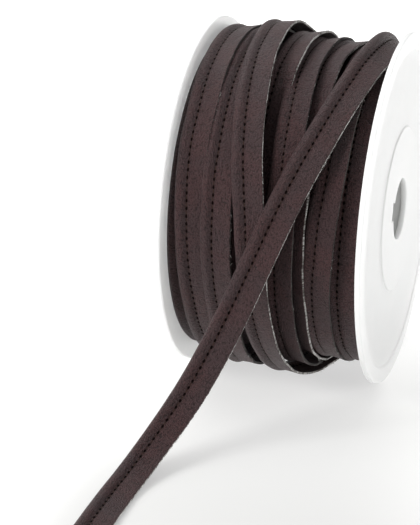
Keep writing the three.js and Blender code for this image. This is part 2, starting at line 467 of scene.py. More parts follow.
@dataclass(frozen=True)
class StudioPaper:
    """The plain pale floor under the reel, its glow painted light: brightest left and behind, dim in front.
    """

    name: str = "Pale studio floor"
    low: Colour = (0.42, 0.42, 0.41, 1.0)
    high: Colour = (0.46, 0.46, 0.45, 1.0)
    left: tuple[float, float] = (0.025, 0.09)
    behind: tuple[float, float] = (-0.06, 0.12)
    front: tuple[float, float] = (0.06, 0.13)
    right: tuple[float, float] = (0.035, 0.12)
    glow: float = 0.51
    glow_away: float = 0.49
    glow_right: float = 0.45
    glow_front: float = -0.15

    def make(self, effects: Effects) -> bpy.types.Material:
        """Build the material from the shared clouding.

        Args:
            effects: The shared shader groups.

        Returns:
            The material.
        """
        material, tree = start_material(self.name)
        cloud = tree.add("Group", {"Cloud Size": 0.4, "Fleck Size": 0.002}, node_tree=effects.clouding)
        place = tree.add("SeparateXYZ", {0: tree.place()}).outputs
        # Painted light and shade: the floor glows more to the left, behind and to the right, less in front,
        # and lights the reel from below like a lamp.
        left = tree.ramp(tree.math("MULTIPLY", place["X"], -1.0), *self.left)
        behind = tree.ramp(place["Y"], *self.behind)
        front = tree.ramp(tree.math("MULTIPLY", place["Y"], -1.0), *self.front)
        right = tree.math("MULTIPLY", tree.ramp(place["X"], *self.right), self.glow_right)
        away = tree.math("MAXIMUM", right, tree.math("MAXIMUM", left, behind))
        glow = tree.math("MULTIPLY", away, self.glow_away)
        glow = tree.math("ADD", glow, tree.math("MULTIPLY", front, self.glow_front))
        tree.shade(
            {
                "Base Color": tree.blend(cloud.outputs["Tone"], self.low, self.high), "Roughness": 0.75,
                "Specular IOR Level": 0.2, "Emission Color": (1.0, 1.0, 1.0, 1.0),
                "Emission Strength": tree.math("ADD", glow, self.glow),
            }
        )
        return material


class Finishes:
    """Every material of the scene, made once."""

    def __init__(self) -> None:
        """Build the shared effects and then each finish."""
        effects = Effects()
        self.leather = ImitationLeather().make(effects)
        self.raw = {RawEdge.PALE: RawBacking().make(), RawEdge.DULL: SHADED_BACKING.make()}
        self.fibre = LOOSE_FIBRES.make()
        self.thread = SewingThread().make()
        self.plastic = MouldedPlastic().make(effects)
        self.floor = StudioPaper().make(effects)


# Meshes


class MeshData:
    """Points, faces and their materials, gathered before one mesh is made of them."""

    def __init__(self) -> None:
        """Start with nothing."""
        self.points: list[np.ndarray] = []
        self.lays: list[np.ndarray] = []
        self.faces: list[tuple[int, ...]] = []
        self.kinds: list[int] = []
        self.count = 0

    def add_face(self, corners: tuple[int, ...], kind: int) -> None:
        """Add one face with the number of its material."""
        self.faces.append(corners)
        self.kinds.append(kind)

    def add_tube(
        self, places: object, lays: object, kinds: list[int], closed: bool = False, end_kind: int = 0,
    ) -> None:
        """Add rings of points, joined into a tube.

        Args:
            places: The points in millimetres, ring by ring.
            lays: For each point, its distance along and across the trim and the strip's number.
            kinds: For each point of a ring, the material of the faces that start there.
            closed: Whether the last ring joins the first; if not, both ends are capped.
            end_kind: The material of the last cap.
        """
        places = np.asarray(places, dtype=float).reshape(-1, 3)
        self.points.append(places)
        self.lays.append(np.asarray(lays, dtype=float).reshape(-1, 3))
        size = len(kinds)
        rings = len(places) // size
        first = self.count
        self.count += len(places)
        for ring in range(rings if closed else rings - 1):
            here = first + ring * size
            there = first + (ring + 1) % rings * size
            for i, kind in enumerate(kinds):
                j = (i + 1) % size
                self.add_face((here + i, here + j, there + j, there + i), kind)
        if not closed:
            self.add_face(tuple(range(first + size - 1, first - 1, -1)), 0)
            self.add_face(tuple(range(self.count - size, self.count)), end_kind)

    def make(self, name: str, materials: list[bpy.types.Material]) -> bpy.types.Object:
        """Make a smooth-shaded object of what was gathered.

        Args:
            name: The object's name.
            materials: Its materials, in the order of the faces' numbers.

        Returns:
            The object, linked to the scene.
        """
        mesh = bpy.data.meshes.new(name)
        mesh.from_pydata((np.concatenate(self.points) * MM).tolist(), [], self.faces)
        attribute = mesh.attributes.new("lay", "FLOAT_VECTOR", "POINT")
        attribute.data.foreach_set("vector", np.concatenate(self.lays).astype(np.float32).ravel())
        for material in materials:
            mesh.materials.append(material)
        mesh.polygons.foreach_set("material_index", self.kinds)
        mesh.polygons.foreach_set("use_smooth", [True] * len(self.faces))
        mesh.update()
        piece = bpy.data.objects.new(name, mesh)
        bpy.context.scene.collection.objects.link(piece)
        return piece


def settle(piece: bpy.types.Object, node: str = "") -> None:
    """Make a piece ride on the reel's body.

    Args:
        piece: The piece.
        node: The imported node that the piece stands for, if it does.
    """
    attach(piece, BODY)
    if node:
        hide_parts(node)
    log.info("built %s", piece.name)


def round_axis(along_mm: float, radius_mm: float, angle: float) -> tuple[float, float, float]:
    """Place a point round the reel's axis, never under the surface that the reel stands on.

    Args:
        along_mm: Its place along X.
        radius_mm: Its distance from the axis.
        angle: Its angle from the top, towards the front.

    Returns:
        The point, in millimetres.
    """
    height = AXIS_HEIGHT_MM + radius_mm * math.cos(angle)
    return along_mm, -radius_mm * math.sin(angle), max(height, 0.0)


def facing_up(degrees: np.ndarray) -> np.ndarray:
    """Return the directions away from the reel's axis at these angles from the top."""
    radians = np.radians(degrees)
    return np.stack([np.zeros_like(radians), -np.sin(radians), np.cos(radians)], axis=1)


class Keyed:
    """A smooth value through keys that doesn't swing past them."""

    def __init__(self, places: tuple[float, ...], values: tuple[float, ...]) -> None:
        """Work out the slope at each key.

        Args:
            places: Where the keys lie, rising.
            values: The value at each key.
        """
        self.places = np.asarray(places, dtype=float)
        self.values = np.asarray(values, dtype=float)
        steps = np.diff(self.places)
        rises = np.diff(self.values) / steps
        first = 2 * steps[1:] + steps[:-1]
        second = steps[1:] + 2 * steps[:-1]
        with np.errstate(divide="ignore", invalid="ignore"):
            middle = (first + second) / (first / rises[:-1] + second / rises[1:])
        middle = np.where(rises[:-1] * rises[1:] > 0, middle, 0.0)
        self.slopes = np.concatenate([rises[:1], middle, rises[-1:]])

    def at(self, places: np.ndarray) -> np.ndarray:
        """Work out the values between the keys.

        Args:
            places: Where the values are wanted.

        Returns:
            A value for each place.
        """
        where = np.clip(np.searchsorted(self.places, places, side="right") - 1, 0, len(self.places) - 2)
        step = self.places[where + 1] - self.places[where]
        part = (places - self.places[where]) / step
        square = part * part
        cube = square * part
        return (
            (2 * cube - 3 * square + 1) * self.values[where]
            + (cube - 2 * square + part) * step * self.slopes[where]
            + (3 * square - 2 * cube) * self.values[where + 1]
            + (cube - square) * step * self.slopes[where + 1]
        )


@dataclass(frozen=True)
class Wobble:
    """A gentle, seeded, never quite repeating wobble along a strip."""

    seed: int
    wavelength_mm: float
    size: float
    waves: int = 5
    shorten: float = 0.83
    calm: float = 1.6

    def at(self, along_mm: np.ndarray, number: int) -> np.ndarray:
        """Return the wobble at each place, mostly between -1 and 1.

        Args:
            along_mm: The places along the strip.
            number: The strip's number, which moves the seed on.

        Returns:
            A value for each place.
        """
        draw = random.Random(self.seed + number)
        total = np.zeros_like(along_mm)
        for i in range(self.waves):
            wavelength = self.wavelength_mm / (1 + self.shorten * i)
            phase = draw.uniform(0, math.tau)
            total = total + 1 / (1 + i) * np.sin(along_mm * math.tau / wavelength + phase)
        return total / self.calm


# The trim

SEAM_SWAY = Wobble(5, 61.0, 0.16)
RADIUS_SWAY = Wobble(45, 47.0, 0.096)
TILT_SWAY = Wobble(85, 38.0, 1.4)
PUCKER = Wobble(71, 9.0, 0.05)
CREASE = Wobble(171, 13.0, 0.07)
FRAY = Wobble(271, 3.1, 0.06)


@dataclass
class TrimRoute:
    """A strip's seam line with the way that the tape faces, at even steps."""

    centres: np.ndarray
    upright: np.ndarray
    tilt: np.ndarray
    curl: np.ndarray
    along: np.ndarray

    def axes(self) -> tuple[np.ndarray, np.ndarray, np.ndarray]:
        """Work out which way the strip runs and faces.

        Returns:
            The forward, across and up directions at each step.
        """
        forward = np.gradient(self.centres, axis=0)
        forward /= np.linalg.norm(forward, axis=1, keepdims=True)
        level = np.cross(self.upright, forward)
        level /= np.linalg.norm(level, axis=1, keepdims=True)
        raised = np.cross(forward, level)
        tilt = np.radians(self.tilt)[:, None]
        across = level * np.cos(tilt) + raised * np.sin(tilt)
        up = raised * np.cos(tilt) - level * np.sin(tilt)
        return forward, across, up


@dataclass(frozen=True)
class TrimSection:
    """The cross-section of the piping: a round bead, a stitched seam and a two-ply tape."""

    bead_half_width_mm: float = 1.98
    bead_half_height_mm: float = 1.55
    seam_to_bead_edge_mm: float = 4.2
    seam_to_tape_edge_mm: float = 6.7
    ply_mm: float = 0.42
    seam_half_mm: float = 0.3
    furrow_half_mm: float = 0.5
    hole_half_mm: float = 0.27
    hole_dip_mm: float = 0.4
    cut_mm: float = 0.04
    pucker_at_mm: float = 1.1
    pucker_spread_mm: float = 0.9
    pucker_from_mm: float = 0.3
    crease_slant: float = 0.7
    crease_from_mm: float = 0.8
    crease_growth_mm: float = 2.0
    steps_per_stitch: int = 4
    bead_degrees: tuple[int, ...] = (84, 98, 112, 128, 146, 164, 182, 204, 228, 252, 276, 300, 324, 344)

    @property
    def step_mm(self) -> float:
        """The length of one step along the trim."""
        return STITCH_PITCH_MM / self.steps_per_stitch

    @property
    def middle_mm(self) -> float:
        """The middle of the whole width, from the seam."""
        return (self.seam_to_tape_edge_mm - self.seam_to_bead_edge_mm) / 2

    def outline(self) -> tuple[list[tuple[float, float]], list[int]]:
        """Work out the outline once round, from the tape's edge.

        Returns:
            Its points (across, up), and the number of each one's material.
        """
        edge = self.seam_to_tape_edge_mm
        ply = self.ply_mm
        seam = self.seam_half_mm
        top = [
            (edge - 0.03, ply - 0.02), (edge - 0.25, ply + 0.01), (edge - 1.1, ply), (edge - 2.3, ply),
            (edge - 3.5, ply + 0.04), (edge - 4.5, ply + 0.1), (1.4, ply + 0.16), (0.9, ply + 0.12),
            (self.furrow_half_mm, ply + 0.04), (0.28, seam + 0.05), (0.05, seam),
        ]
        slope = [(-0.28, 0.36), (-0.55, 0.58), (-0.85, 0.85), (-1.2, 1.14), (-1.6, 1.4)]
        centre = self.bead_half_width_mm - self.seam_to_bead_edge_mm
        bead = [
            (
                centre + self.bead_half_width_mm * math.cos(math.radians(angle)),
                self.bead_half_height_mm * math.sin(math.radians(angle)),
            )
            for angle in self.bead_degrees
        ]
        under = [
            (0.15, -seam), (0.8, -ply + 0.05), (1.6, -ply - 0.03), (edge - 2.6, -ply),
            (edge - 0.25, -ply), (edge - 0.03, -ply + 0.02),
        ]
        cut = [
            (edge + 0.03, -ply + 0.14), (edge + 0.03, -0.05), (edge - 0.1, 0.0), (edge + 0.03, 0.05),
            (edge + 0.03, ply - 0.1),
        ]
        skins = top + slope + bead + under
        return skins + cut, [0] * len(skins) + [1, 0, 1, 1, 0]


@dataclass(frozen=True)
class Stitching:
    """The thread between the needle holes: its size, and each stitch's (part, girth, lift)."""

    seed: int = 900
    sides: int = 7
    radius_mm: float = 0.15
    sunk_mm: float = 0.02
    astray_mm: float = 0.06
    twist: float = 0.2
    profile: tuple[tuple[float, float, float], ...] = (
        (0.2, 0.25, -0.2), (0.27, 0.85, -0.04), (0.5, 1.0, 0.04), (0.73, 0.85, -0.04),
        (0.8, 0.25, -0.2),
    )


@dataclass(frozen=True)
class Fraying:
    """The loose fibres of the backing, in tufts: the ranges that each one's measures come from."""

    seed: int = 1500
    sides: int = 3
    per_tuft: int = 4
    tuft_steps: int = 7
    from_edge_mm: float = 0.05
    sweep: float = 0.6
    taper: float = 0.8
    parts: tuple[float, ...] = (0.0, 0.4, 0.75, 1.0)
    height_mm: tuple[float, float] = (-0.2, 0.3)
    length_mm: tuple[float, float] = (0.35, 1.5)
    lean: tuple[float, float] = (-1.6, 1.6)
    rise: tuple[float, float] = (-0.1, 0.9)
    bow: tuple[float, float] = (-0.5, 0.5)
    thick_mm: tuple[float, float] = (0.06, 0.12)


SECTION = TrimSection()
STITCHING = Stitching()
FRAYING = Fraying()


@dataclass
class TrimStrip:
    """One stretch of the trim, with its skins, raw edge, stitches and loose fibres.

    Its number sets its chance marks apart from those of the other strips.
    """

    name: str
    route: TrimRoute
    number: int
    lay_spacing: float = 37.0
    straight: float = 1e-6

    def __post_init__(self) -> None:
        """Work out the route's directions."""
        self.forward, self.across, self.up = self.route.axes()

    def place(self, steps: np.ndarray, across_mm: np.ndarray, up_mm: np.ndarray) -> np.ndarray:
        """Set points of the section into place along the route, the tape curled.

        Args:
            steps: For each point, the step of the route that it belongs to.
            across_mm: For each point, its distance across from the seam.
            up_mm: For each point, its height over the tape's middle.

        Returns:
            The points, in millimetres.
        """
        width = SECTION.seam_to_tape_edge_mm
        curl = np.radians(self.route.curl)[steps]
        straight = np.abs(curl) < self.straight
        safe = np.where(straight, self.straight, curl)
        tape = np.clip(across_mm, 0, None)
        bend = curl * tape / width
        tape_run = np.where(straight, tape, width * np.sin(bend) / safe)
        rise = np.where(straight, 0.0, width * (1 - np.cos(bend)) / safe)
        run = np.where(across_mm > 0, tape_run, across_mm) - up_mm * np.sin(bend)
        lift = rise + up_mm * np.cos(bend)
        beside = self.route.centres[steps] + self.across[steps] * run[:, None]
        return beside + self.up[steps] * lift[:, None]

    def circle(self, step: int, sides: int) -> list[tuple[float, np.ndarray]]:
        """Work out a circle that stands across the route.

        Args:
            step: The step of the route.
            sides: How many points the circle has.

        Returns:
            Each point's angle and the way to it from the middle.
        """
        angles = [side * math.tau / sides for side in range(sides)]
        across, up = self.across[step], self.up[step]
        return [(angle, across * math.cos(angle) + up * math.sin(angle)) for angle in angles]

    def skin(self, materials: list[bpy.types.Material]) -> bpy.types.Object:
        """Build the leather skins with the cut edge.

        Args:
            materials: The leather and the backing.

        Returns:
            The strip's object.
        """
        outline, kinds = SECTION.outline()
        rings = len(self.route.along)
        steps = np.repeat(np.arange(rings), len(outline))
        across, up = np.tile(np.array(outline), (rings, 1)).T
        along = self.route.along[steps]
        top = up > 0
        at_hole = (steps % SECTION.steps_per_stitch == 0) & (np.abs(across) < SECTION.hole_half_mm)
        dip = np.where(at_hole & top, SECTION.hole_dip_mm, 0.0)
        off = (across - SECTION.pucker_at_mm) / SECTION.pucker_spread_mm
        near_seam = np.exp(-(off**2)) * (across > SECTION.pucker_from_mm)
        pucker = PUCKER.at(along, self.number) * PUCKER.size * near_seam
        slanting = CREASE.at(along + across * SECTION.crease_slant, self.number)
        on_tape = np.clip((across - SECTION.crease_from_mm) / SECTION.crease_growth_mm, 0, 1)
        crease = np.clip(slanting, 0, None) ** 2 * CREASE.size * on_tape
        at_edge = across > SECTION.seam_to_tape_edge_mm - SECTION.cut_mm
        fray = np.where(at_edge, FRAY.at(along, self.number) * FRAY.size, 0.0)
        sunk = up - np.where(top, dip + crease - pucker, 0.0)
        lays = np.stack([along, across, np.full_like(along, self.number * self.lay_spacing)], axis=1)
        data = MeshData()
        data.add_tube(self.place(steps, across + fray, sunk), lays, kinds, end_kind=1)
        return data.make(self.name, materials)

    def stitches(self, thread: bpy.types.Material) -> bpy.types.Object:
        """Build one short rounded length of thread for each stitch.

        Args:
            thread: The thread's material.

        Returns:
            The object of all this strip's stitches.
        """
        data = MeshData()
        count = SECTION.steps_per_stitch
        height = SECTION.seam_half_mm - STITCHING.sunk_mm
        draw = random.Random(STITCHING.seed + self.number)
        for start in range(0, len(self.route.along) - count - 1, count):
            ends = (self.route.centres[start], self.route.centres[start + count])
            middle = start + count // 2
            circle = self.circle(middle, STITCHING.sides)
            astray = draw.uniform(-STITCHING.astray_mm, STITCHING.astray_mm)
            places = []
            lays = []
            for part, girth, lift in STITCHING.profile:
                centre = ends[0] * (1 - part) + ends[1] * part
                centre = centre + self.across[middle] * (STITCH_ROW_MM + astray * part)
                centre = centre + self.up[middle] * (height + lift)
                along = (start + part * count) * SECTION.step_mm
                places += [centre + spoke * STITCHING.radius_mm * girth for _, spoke in circle]
                lays += [(along, angle * STITCHING.twist, self.number) for angle, _ in circle]
            data.add_tube(places, lays, [0] * STITCHING.sides)
        return data.make(self.name + "_stitches", [thread])

    def fibres(self, backing: bpy.types.Material, count: int) -> bpy.types.Object:
        """Build the loose fibres of the backing that stand out from the cut edge.

        Args:
            backing: The fibres' material.
            count: How many fibres to spread along the strip.

        Returns:
            The object of all this strip's fibres.
        """
        data = MeshData()
        draw = random.Random(FRAYING.seed + self.number)
        rings = len(self.route.along)
        reach_steps = FRAYING.tuft_steps
        edge = np.array([SECTION.seam_to_tape_edge_mm - FRAYING.from_edge_mm])
        tufts = [draw.randrange(8, rings - 8) for _ in range(max(1, count // FRAYING.per_tuft))]
        for _ in range(count):
            step = draw.choice(tufts) + draw.randrange(-reach_steps, reach_steps + 1)
            step = min(rings - 4, max(3, step))
            height = draw.uniform(*FRAYING.height_mm)
            length = draw.uniform(*FRAYING.length_mm)
            lean = draw.uniform(*FRAYING.lean)
            rise = draw.uniform(*FRAYING.rise)
            bow = draw.uniform(*FRAYING.bow)
            thick = draw.uniform(*FRAYING.thick_mm)
            root = self.place(np.array([step]), edge, np.array([height]))[0]
            circle = self.circle(step, FRAYING.sides)
            places = []
            lays = []
            for part in FRAYING.parts:
                reach = length * part
                middle = root + self.across[step] * reach * FRAYING.sweep
                middle = middle + self.forward[step] * (lean * reach * FRAYING.sweep)
                middle = middle + self.up[step] * (rise * reach + bow * reach * part)
                girth = thick * (1 - FRAYING.taper * part)
                places += [middle + spoke * girth for _, spoke in circle]
                along = self.route.along[step] + part
                lays += [(along, side, self.number) for side in range(FRAYING.sides)]
            data.add_tube(places, lays, [0] * FRAYING.sides)
        return data.make(self.name + "_fibres", [backing])

    def build(self, finishes: Finishes, raw_edge: RawEdge, node: str = "") -> list[bpy.types.Object]:
        """Build the strip.

        Args:
            finishes: The materials.
            raw_edge: How its cut edge shows the backing.
            node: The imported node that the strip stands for, if it does.

        Returns:
            Its skin, stitches and fibres.
        """
        skin = self.skin([finishes.leather, finishes.raw[raw_edge]])
        thread = self.stitches(finishes.thread)
        fibres = self.fibres(finishes.fibre, raw_edge.value)
        settle(skin, node)
        settle(thread)
        settle(fibres)
        return [skin, thread, fibres]


def through_points(points: np.ndarray, per_span: int) -> np.ndarray:
    """Run a uniform Catmull-Rom curve through points.

    Args:
        points: The points or values, one row each.
        per_span: How many steps each span is cut into.

    Returns:
        The rows along the curve, the last point included.
    """
    ends = np.concatenate([[2 * points[0] - points[1]], points, [2 * points[-1] - points[-2]]])
    part = (np.arange(per_span) / per_span)[:, None]
    spans = []
    for before, start, stop, after in zip(ends[:-3], ends[1:-2], ends[2:-1], ends[3:]):
        bend = (2 * before - 5 * start + 4 * stop - after) * part**2
        twist = (3 * start - before - 3 * stop + after) * part**3
        spans.append(0.5 * (2 * start + (stop - before) * part + bend + twist))
    spans.append(points[-1][None, :])
    return np.concatenate(spans)


def evenly(rows: np.ndarray, step_mm: float) -> tuple[np.ndarray, np.ndarray]:
    """Take rows at even distances along a line.

    Args:
        rows: Rows whose first three columns are the line's points, in millimetres.
        step_mm: The distance between the rows that are returned.

    Returns:
        The rows, and each one's distance along.
    """
    lengths = np.linalg.norm(np.diff(rows[:, :3], axis=0), axis=1)
    run = np.concatenate([[0.0], np.cumsum(lengths)])
    count = int(run[-1] / step_mm)
    marks = np.arange(count + 1) * run[-1] / count
    columns = [np.interp(marks, run, column) for column in rows.T]
    return np.stack(columns, axis=1), np.arange(count + 1) * step_mm


# The winding

KEY_ANGLES = (-60, -24, 15, 50, 85, 120, 155, 190)
KEY_ANGLES_WITH_ENDS = (-205, -170, *KEY_ANGLES, 300, 336)
COLUMNS = ("seam", "radius", "tilt", "curl")
NO_CURL = (0.0,) * len(KEY_ANGLES)


@dataclass(frozen=True)
class Turn:
    """One turn of the winding: its seam's place along X, radius, tilt and curl at the key angles.

    Before and after name the turns that it comes from and runs into, and stretch gives its angles.
    """

    name: str
    seam: tuple[float, ...]
    radius: tuple[float, ...]
    tilt: tuple[float, ...]
    curl: tuple[float, ...] = NO_CURL
    raw_edge: RawEdge = RawEdge.DULL
    before: str = ""
    after: str = ""
    stretch: tuple[float, float] = (-100.0, 260.0)


TURNS = (
    Turn(
        "turn_a",
        seam=(-26.8, -26.8, -26.8, -26.8, -25.2, -23.8, -23.2, -22.4),
        radius=(57.8, 57.9, 57.6, 57.0, 56.4, 56.4, 56.8, 56.8), tilt=(6, 6, 8, 8, 2, 2, 2, 2),
        curl=(4, 6, 14, 14, 0, 0, 0, 0), before="rising_start", after="turn_b", stretch=(-172.0, 260.0),
    ),
    Turn(
        "turn_b",
        seam=(-17.3, -17.3, -17.3, -17.0, -16.0, -14.8, -14.2, -13.3),
        radius=(57.4, 57.6, 57.6, 57.8, 58.2, 58.4, 59.2, 58.0), tilt=(6, 6, 6, 6, 10, 11, 6, 4),
        before="turn_a", after="turn_c",
    ),
    Turn(
        "turn_c",
        seam=(-7.7, -13.3, -12.1, -8.5, -3.7, -1.5, 1.6, 12.0),
        radius=(60.4, 60.6, 60.6, 60.2, 60.0, 60.2, 60.4, 58.4), tilt=(6, 8, 10, 8, 12, 13, 10, 4),
        raw_edge=RawEdge.PALE, before="turn_b", after="turn_g",
    ),
    Turn(
        "turn_d",
        seam=(-2.4, -2.8, -3.8, -5.4, -5.2, -5.0, -5.0, -6.0),
        radius=(57.2, 57.4, 57.2, 48.5, 46.5, 46.5, 46.5, 46.5), tilt=(12, 13, 16, 10, 4, 4, 4, 4),
        raw_edge=RawEdge.PALE, before="turn_e", after="diving_end", stretch=(-100.0, 330.0),
    ),
    Turn(
        "turn_e",
        seam=(4.2, 4.2, 3.1, 4.7, 5.0, 5.0, 5.3, 5.2),
        radius=(55.8, 55.9, 56.0, 56.2, 56.2, 56.4, 56.6, 56.2), tilt=(11, 12, 14, 16, 18, 18, 12, 4),
        before="turn_f", after="turn_d",
    ),
    Turn(
        "turn_f",
        seam=(14.0, 13.6, 9.6, 9.2, 8.9, 9.2, 9.0, 9.8),
        radius=(55.6, 55.6, 55.2, 52.6, 52.0, 52.3, 52.6, 54.0), tilt=(10, 11, 13, 28, 34, 34, 26, 8),
        raw_edge=RawEdge.PALE, before="feeding_start", after="turn_e", stretch=(-172.0, 260.0),
    ),
    Turn(
        "turn_g",
        seam=(20.7, 20.7, 20.7, 20.3, 18.3, 16.9, 17.7, 18.7),
        radius=(54.6, 54.8, 54.8, 55.0, 55.0, 54.6, 53.2, 53.0), tilt=(10, 11, 14, 18, 19, 17, 12, 8),
        before="turn_c", after="turn_h",
    ),
    Turn(
        "turn_h",
        seam=(26.2, 26.2, 26.2, 26.0, 25.7, 25.1, 26.0, 26.2),
        radius=(50.8, 51.0, 51.4, 51.8, 52.2, 53.4, 53.6, 52.0), tilt=(-4, -3, 2, 8, 9, 7, 3, -4),
        curl=(-18, -18, -14, -10, -8, -4, -6, -18), before="turn_g", after="loose_start",
        stretch=(-100.0, 326.0),
    ),
)

# Hidden ends, each with only the two keys that a turn needs of its neighbour

HIDDEN_ENDS = (
    Turn("diving_end", seam=(-8.0, -8.4), radius=(47.0, 48.0), tilt=(2, 2)),
    Turn("rising_start", seam=(-26.6, -26.8), radius=(50.4, 50.6), tilt=(4, 4)),
    Turn("feeding_start", seam=(18.6, 17.8), radius=(50.4, 50.6), tilt=(2, 2)),
    Turn("loose_start", seam=(26.5, 26.5), radius=(56.6, 57.4), tilt=(-32, -34)),
)
BY_NAME = {turn.name: turn for turn in TURNS + HIDDEN_ENDS}


@dataclass
class Winding:
    """The trim on the reel: the outer turns, one strip each, over the layers beneath."""

    finishes: Finishes
    steps_per_degree: int = 2
    mean_radius_mm: float = 58.0
    floor_room_mm: float = 2.1
    facing_down: float = -0.2
    half_width_mm: float = 32.8
    drum_radius_mm: float = 30.0
    under_places_mm: tuple[float, ...] = (-32.8, -31.0, -9.5, -8.0, 1.0, 2.5, 20.0, 32.8)
    under_radii_mm: tuple[float, ...] = (54.4, 53.2, 52.6, 44.2, 44.2, 49.8, 49.6, 48.0)
    under_steps: int = 240
    under_number: float = 400.0
    tape_mm: float = 8.0
    tape_from_mm: float = 2.0
    ridges: int = 8
    steps_per_ridge: int = 9
    bead_half_share: float = 0.16
    bead_mm: float = 1.2
    tape_rise_mm: float = 0.7
    sway_mm: float = 1.6
    sway_from: float = 0.6

    def turn_route(self, turn: Turn, number: int) -> TrimRoute:
        """Work out one turn's route; its two ends reach under the neighbours on the back.

        Args:
            turn: The turn.
            number: Its place in the list.

        Returns:
            Its route at even steps.
        """
        start, stop = turn.stretch
        angles = np.linspace(start, stop, int(self.steps_per_degree * (stop - start)) + 1)
        before = BY_NAME[turn.before]
        after = BY_NAME[turn.after]
        seam, radius, tilt, curl = (
            Keyed(
                KEY_ANGLES_WITH_ENDS,
                getattr(before, column)[-2:] + getattr(turn, column) + getattr(after, column)[:2],
            ).at(angles)
            for column in COLUMNS
        )
        run = np.radians(angles - start) * self.mean_radius_mm
        seam = seam + SEAM_SWAY.at(run, number) * SEAM_SWAY.size
        radius = radius + RADIUS_SWAY.at(run, number) * RADIUS_SWAY.size
        tilt = tilt + TILT_SWAY.at(run, number) * TILT_SWAY.size
        upright = facing_up(angles)
        down = upright[:, 2]
        to_floor = (AXIS_HEIGHT_MM - self.floor_room_mm) / -np.minimum(down, self.facing_down)
        radius = np.minimum(radius, np.where(down < self.facing_down, to_floor, np.inf))
        line = upright * radius[:, None] + (0.0, 0.0, AXIS_HEIGHT_MM)
        rows = np.column_stack([seam, line[:, 1:], angles, tilt, curl])
        even, along = evenly(rows, SECTION.step_mm)
        return TrimRoute(even[:, :3], facing_up(even[:, 3]), even[:, 4], even[:, 5], along)

    def build(self) -> None:
        """Build the layers beneath and every outer turn."""
        self.layers_beneath()
        for number, turn in enumerate(TURNS):
            strip = TrimStrip(turn.name, self.turn_route(turn, number), number)
            strip.build(self.finishes, turn.raw_edge)

    def under_profile(self) -> list[tuple[float, float]]:
        """Work out the inner layers' outline, with the rounded backs of their turns.

        Returns:
            Its points (place along X, radius), in millimetres.
        """
        count = self.ridges * self.steps_per_ridge
        profile = [(-self.half_width_mm, self.drum_radius_mm)]
        for i in range(count + 1):
            part = i / count
            along = -self.half_width_mm + part * 2 * self.half_width_mm
            ridge = (part * self.ridges) % 1.0
            off = (ridge - self.bead_half_share) / self.bead_half_share
            bead = math.sqrt(max(0.0, 1 - off**2))
            radius = float(np.interp(along, self.under_places_mm, self.under_radii_mm))
            profile.append((along, radius + self.bead_mm * bead + self.tape_rise_mm * ridge))
        return profile + [(self.half_width_mm, self.drum_radius_mm)]

    def layers_beneath(self) -> None:
        """Build the drum of the inner layers, its turns swaying a little round the reel."""
        profile = self.under_profile()
        places = []
        lays = []
        for step in range(self.under_steps):
            angle = step * math.tau / self.under_steps
            sway = self.sway_mm * math.sin(angle + self.sway_from)
            for along, radius in profile:
                x = along + sway * (1 - (along / self.half_width_mm) ** 2)
                places.append(round_axis(x, radius, angle))
                on_tape = along % self.tape_mm + self.tape_from_mm
                lays.append((angle * radius, on_tape, self.under_number))
        data = MeshData()
        data.add_tube(places, lays, [0] * len(profile), closed=True)
        settle(data.make("layers_beneath", [self.finishes.leather]), "wound_trim")


# The loose end

LOOSE_ROUTE = (
    (26.4, 32.6, 108.8, -34, -34),
    (26.5, 23.8, 113.6, -24, -34),
    (26.6, 14.3, 117.1, -14, -33),
    (26.5, 4.1, 119.1, -4, -31),
    (25.8, -6.3, 119.4, 6, -25),
    (24.3, -16.6, 117.9, 16, -14),
    (22.4, -26.4, 114.4, 26, -6),
    (19.8, -35.6, 109.4, 36, -2),
    (16.6, -43.7, 102.8, 46, 0),
    (12.8, -50.4, 94.7, 56, 0),
    (8.7, -55.6, 85.5, 64, 0),
    (4.6, -60.1, 75.3, 66, 0),
    (0.9, -64.6, 65.2, 66, 0),
    (-2.8, -69.0, 55.1, 66, 0),
    (-6.7, -73.5, 44.9, 66, 0),
    (-11.0, -77.8, 34.8, 65, 0),
    (-15.6, -82.1, 25.0, 62, 0),
    (-20.1, -87.0, 16.7, 53, 0),
    (-24.1, -93.1, 10.1, 40, 0),
    (-27.2, -100.8, 5.3, 26, -2),
    (-29.1, -109.5, 2.7, 12, -5),
    (-30.0, -118.6, 1.9, 2, -7),
    (-30.3, -130.0, 1.9, 0, -7),
    (-30.4, -141.0, 1.9, 0, -7),
    (-30.5, -152.0, 1.9, 0, -7),
)


@dataclass
class LooseEnd:
    """The trim's free end: over the top, down in front of the reel and out over the floor.

    Each row of its route is a point in millimetres, how far the tape leans over, and its tilt.
    """

    finishes: Finishes
    per_span: int = 24
    number: int = 9
    steps_per_path_point: int = 4
    width_mm: float = 11.0

    def route(self) -> TrimRoute:
        """Work out the way that the free end runs.

        Returns:
            Its route at even steps.
        """
        rows = through_points(np.array(LOOSE_ROUTE, dtype=float), self.per_span)
        even, along = evenly(rows, SECTION.step_mm)
        return TrimRoute(even[:, :3], facing_up(even[:, 3]), even[:, 4], np.zeros_like(along), along)

    def build(self) -> None:
        strip = TrimStrip("loose_trim", self.route(), self.number)
        skin, *with_pieces = strip.build(self.finishes, RawEdge.PALE, "loose_end")
        line = strip.route.centres + strip.across * SECTION.middle_mm
        line = line[:: self.steps_per_path_point] * MM


# The reel


